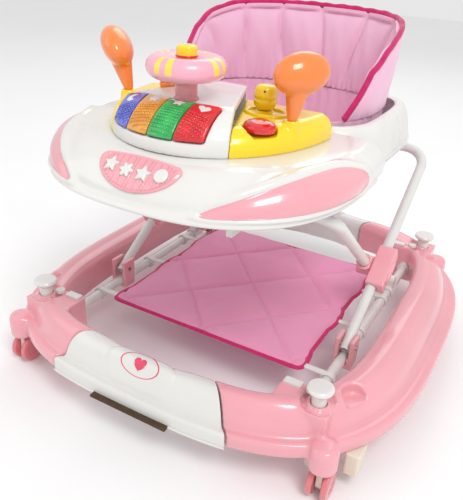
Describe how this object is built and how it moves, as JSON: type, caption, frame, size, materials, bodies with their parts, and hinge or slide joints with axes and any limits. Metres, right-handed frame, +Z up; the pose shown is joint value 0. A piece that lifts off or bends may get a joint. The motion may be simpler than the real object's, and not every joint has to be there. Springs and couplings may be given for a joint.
{
  "type": "baby walker",
  "caption": "Folding baby walker: ring base on casters, scissor leg frames, activity tray with toy console, and a fabric seat with a padded back.",
  "frame": {"origin": "on the floor, under the centre of the base ring", "axes": "+Z up, -Y the way the child faces, +X to the right as seen from the front"},
  "size_m": [0.664, 0.712, 0.532],
  "materials": {
    "pink_plastic": "glossy moulded",
    "white_plastic": "glossy moulded",
    "cream_plastic": "satin moulded",
    "dark_grip": "matt rubber",
    "wheel_pink": "moulded",
    "tube_paint": "white powder coat",
    "steel": "bright rivet",
    "mat_fabric": "quilted cloth",
    "seat_fabric": "soft padded cloth",
    "vinyl": "soft white vinyl",
    "yellow_plastic": "glossy moulded",
    "orange_plastic": "glossy moulded",
    "clear_blue": "tinted translucent",
    "clear_amber": "tinted translucent",
    "clear_green": "tinted translucent",
    "clear_red": "tinted translucent",
    "board": "circuit board"
  },
  "bodies": {
    "base": {"base_side_right": "pink_plastic", "base_side_left": "pink_plastic", "base_front_panel": "white_plastic", "base_rear_panel": "white_plastic", "rail_right": "tube_paint", "rail_left": "tube_paint", "rail_fittings": "white_plastic", "rail_sleeves": "pink_plastic", "mat_clips": "white_plastic", "footrest_mat": "mat_fabric", "stair_pads": "cream_plastic", "friction_strips": "dark_grip"},
    "frame_a": {"leg_frame_a": "tube_paint", "leg_a_feet": "pink_plastic", "cross_sockets": "pink_plastic"},
    "frame_b": {"leg_frame_b": "tube_paint", "cross_clamps": "pink_plastic", "leg_b_pins": "steel"},
    "feet": {"foot_brackets": "pink_plastic"},
    "latch_right": {"fold_latch_right": "pink_plastic"},
    "latch_left": {"fold_latch_left": "pink_plastic"},
    "platform": {"tray_shell": "white_plastic", "leg_brackets": "white_plastic", "headlight_right": "pink_plastic", "headlight_left": "pink_plastic", "front_grille": "pink_plastic", "grille_emblems": "white_plastic", "console_centre": "white_plastic", "console_wing_right": "yellow_plastic", "console_wing_left": "yellow_plastic", "steering_column": "pink_plastic", "sound_unit": "board", "battery_door": "white_plastic", "seat_ring": "white_plastic", "vinyl_skirt": "vinyl", "seat_sling": "seat_fabric", "seat_back": "seat_fabric"},
    "wheel": {"steering_wheel": "pink_plastic"},
    "horn": {"horn_button": "yellow_plastic"},
    "dome": {"red_button": "clear_red"},
    "rattle_right": {"rattle_right": "orange_plastic"},
    "rattle_left": {"rattle_left": "orange_plastic"},
    "twist_right": {"twist_knob_right": "yellow_plastic"},
    "twist_left": {"twist_knob_left": "orange_plastic"},
    "key_blue": {"key_blue": "clear_blue"},
    "key_amber": {"key_amber": "clear_amber"},
    "key_green": {"key_green": "clear_green"},
    "key_red": {"key_red": "clear_red"},
    "stopper_front_right": {"stopper_front_right": "white_plastic"},
    "caster_front_right": {"caster_fork_front_right": "cream_plastic"},
    "wheels_front_right": {"caster_wheels_front_right": "wheel_pink"},
    "stopper_front_left": {"stopper_front_left": "white_plastic"},
    "caster_front_left": {"caster_fork_front_left": "cream_plastic"},
    "wheels_front_left": {"caster_wheels_front_left": "wheel_pink"},
    "stopper_rear_right": {"stopper_rear_right": "white_plastic"},
    "caster_rear_right": {"caster_fork_rear_right": "cream_plastic"},
    "wheels_rear_right": {"caster_wheels_rear_right": "wheel_pink"},
    "stopper_rear_left": {"stopper_rear_left": "white_plastic"},
    "caster_rear_left": {"caster_fork_rear_left": "cream_plastic"},
    "wheels_rear_left": {"caster_wheels_rear_left": "wheel_pink"}
  },
  "joints": [
    {"name": "frame_fold", "type": "hinge", "parent": "base", "child": "frame_a", "pos_m": [0, 0.134, 0.096], "axis": [1, 0, 0], "range_deg": [0, 20]},
    {"name": "frame_cross", "type": "hinge", "parent": "frame_a", "child": "frame_b", "pos_m": [0, 0.018, 0.174], "axis": [1, 0, 0], "range_deg": [-40, 0]},
    {"name": "tray_level", "type": "hinge", "parent": "frame_b", "child": "platform", "pos_m": [0, 0.22422, 0.31266], "axis": [1, 0, 0], "range_deg": [0, 20]},
    {"name": "bracket_level", "type": "hinge", "parent": "frame_b", "child": "feet", "pos_m": [0, -0.098, 0.096], "axis": [1, 0, 0], "range_deg": [0, 20]},
    {"name": "latch_right_press", "type": "slide", "parent": "frame_b", "child": "latch_right", "axis": [1, 0, 0], "range_m": [-0.0025, 0], "stiffness_N_per_m": 300, "springref_m": 0.003},
    {"name": "latch_left_press", "type": "slide", "parent": "frame_b", "child": "latch_left", "axis": [1, 0, 0], "range_m": [0, 0.0025], "stiffness_N_per_m": 300, "springref_m": -0.003},
    {"name": "steering_turn", "type": "hinge", "parent": "platform", "child": "wheel", "pos_m": [0, -0.22, 0.49], "axis": [0, 0, 1], "continuous": true},
    {"name": "horn_press", "type": "slide", "parent": "wheel", "child": "horn", "axis": [0, 0, 1], "range_m": [-0.003, 0], "stiffness_N_per_m": 300, "springref_m": 0.003},
    {"name": "dome_press", "type": "slide", "parent": "platform", "child": "dome", "axis": [0, 0, 1], "range_m": [-0.003, 0], "stiffness_N_per_m": 300, "springref_m": 0.003},
    {"name": "rattle_right_turn", "type": "hinge", "parent": "platform", "child": "rattle_right", "pos_m": [0.122, -0.178, 0.437], "axis": [0, 0, 1], "range_deg": [-60, 60]},
    {"name": "twist_right_turn", "type": "hinge", "parent": "platform", "child": "twist_right", "pos_m": [0.072, -0.15, 0.437], "axis": [0, 0, 1], "range_deg": [-90, 90]},
    {"name": "rattle_left_turn", "type": "hinge", "parent": "platform", "child": "rattle_left", "pos_m": [-0.122, -0.178, 0.437], "axis": [0, 0, 1], "range_deg": [-60, 60]},
    {"name": "twist_left_turn", "type": "hinge", "parent": "platform", "child": "twist_left", "pos_m": [-0.072, -0.15, 0.437], "axis": [0, 0, 1], "range_deg": [-90, 90]},
    {"name": "key_blue_press", "type": "hinge", "parent": "platform", "child": "key_blue", "pos_m": [0, -0.236, 0.44649], "axis": [1, 0, 0], "range_deg": [0, 2], "stiffness_Nm_per_rad": 0.15, "springref_deg": -11.46},
    {"name": "key_amber_press", "type": "hinge", "parent": "platform", "child": "key_amber", "pos_m": [0, -0.236, 0.4488], "axis": [1, 0, 0], "range_deg": [0, 2], "stiffness_Nm_per_rad": 0.15, "springref_deg": -11.46},
    {"name": "key_green_press", "type": "hinge", "parent": "platform", "child": "key_green", "pos_m": [0, -0.236, 0.4488], "axis": [1, 0, 0], "range_deg": [0, 2], "stiffness_Nm_per_rad": 0.15, "springref_deg": -11.46},
    {"name": "key_red_press", "type": "hinge", "parent": "platform", "child": "key_red", "pos_m": [0, -0.236, 0.44656], "axis": [1, 0, 0], "range_deg": [0, 2], "stiffness_Nm_per_rad": 0.15, "springref_deg": -11.46},
    {"name": "stopper_front_right_press", "type": "slide", "parent": "base", "child": "stopper_front_right", "axis": [0, 0, 1], "range_m": [-0.012, 0]},
    {"name": "caster_front_right_swivel", "type": "hinge", "parent": "base", "child": "caster_front_right", "pos_m": [0.256, -0.292, 0.06], "axis": [0, 0, 1], "continuous": true},
    {"name": "wheels_front_right_roll", "type": "hinge", "parent": "caster_front_right", "child": "wheels_front_right", "pos_m": [0.256, -0.287, 0.022], "axis": [1, 0, 0], "continuous": true},
    {"name": "stopper_front_left_press", "type": "slide", "parent": "base", "child": "stopper_front_left", "axis": [0, 0, 1], "range_m": [-0.012, 0]},
    {"name": "caster_front_left_swivel", "type": "hinge", "parent": "base", "child": "caster_front_left", "pos_m": [-0.256, -0.292, 0.06], "axis": [0, 0, 1], "continuous": true},
    {"name": "wheels_front_left_roll", "type": "hinge", "parent": "caster_front_left", "child": "wheels_front_left", "pos_m": [-0.256, -0.287, 0.022], "axis": [1, 0, 0], "continuous": true},
    {"name": "stopper_rear_right_press", "type": "slide", "parent": "base", "child": "stopper_rear_right", "axis": [0, 0, 1], "range_m": [-0.012, 0]},
    {"name": "caster_rear_right_swivel", "type": "hinge", "parent": "base", "child": "caster_rear_right", "pos_m": [0.256, 0.292, 0.06], "axis": [0, 0, 1], "continuous": true},
    {"name": "wheels_rear_right_roll", "type": "hinge", "parent": "caster_rear_right", "child": "wheels_rear_right", "pos_m": [0.256, 0.287, 0.022], "axis": [1, 0, 0], "continuous": true},
    {"name": "stopper_rear_left_press", "type": "slide", "parent": "base", "child": "stopper_rear_left", "axis": [0, 0, 1], "range_m": [-0.012, 0]},
    {"name": "caster_rear_left_swivel", "type": "hinge", "parent": "base", "child": "caster_rear_left", "pos_m": [-0.256, 0.292, 0.06], "axis": [0, 0, 1], "continuous": true},
    {"name": "wheels_rear_left_roll", "type": "hinge", "parent": "caster_rear_left", "child": "wheels_rear_left", "pos_m": [-0.256, 0.287, 0.022], "axis": [1, 0, 0], "continuous": true}
  ],
  "couplings": [
    {"joint": "frame_cross", "follows": "frame_fold", "ratio": -2},
    {"joint": "tray_level", "follows": "frame_fold", "ratio": 1},
    {"joint": "bracket_level", "follows": "frame_fold", "ratio": 1}
  ]
}
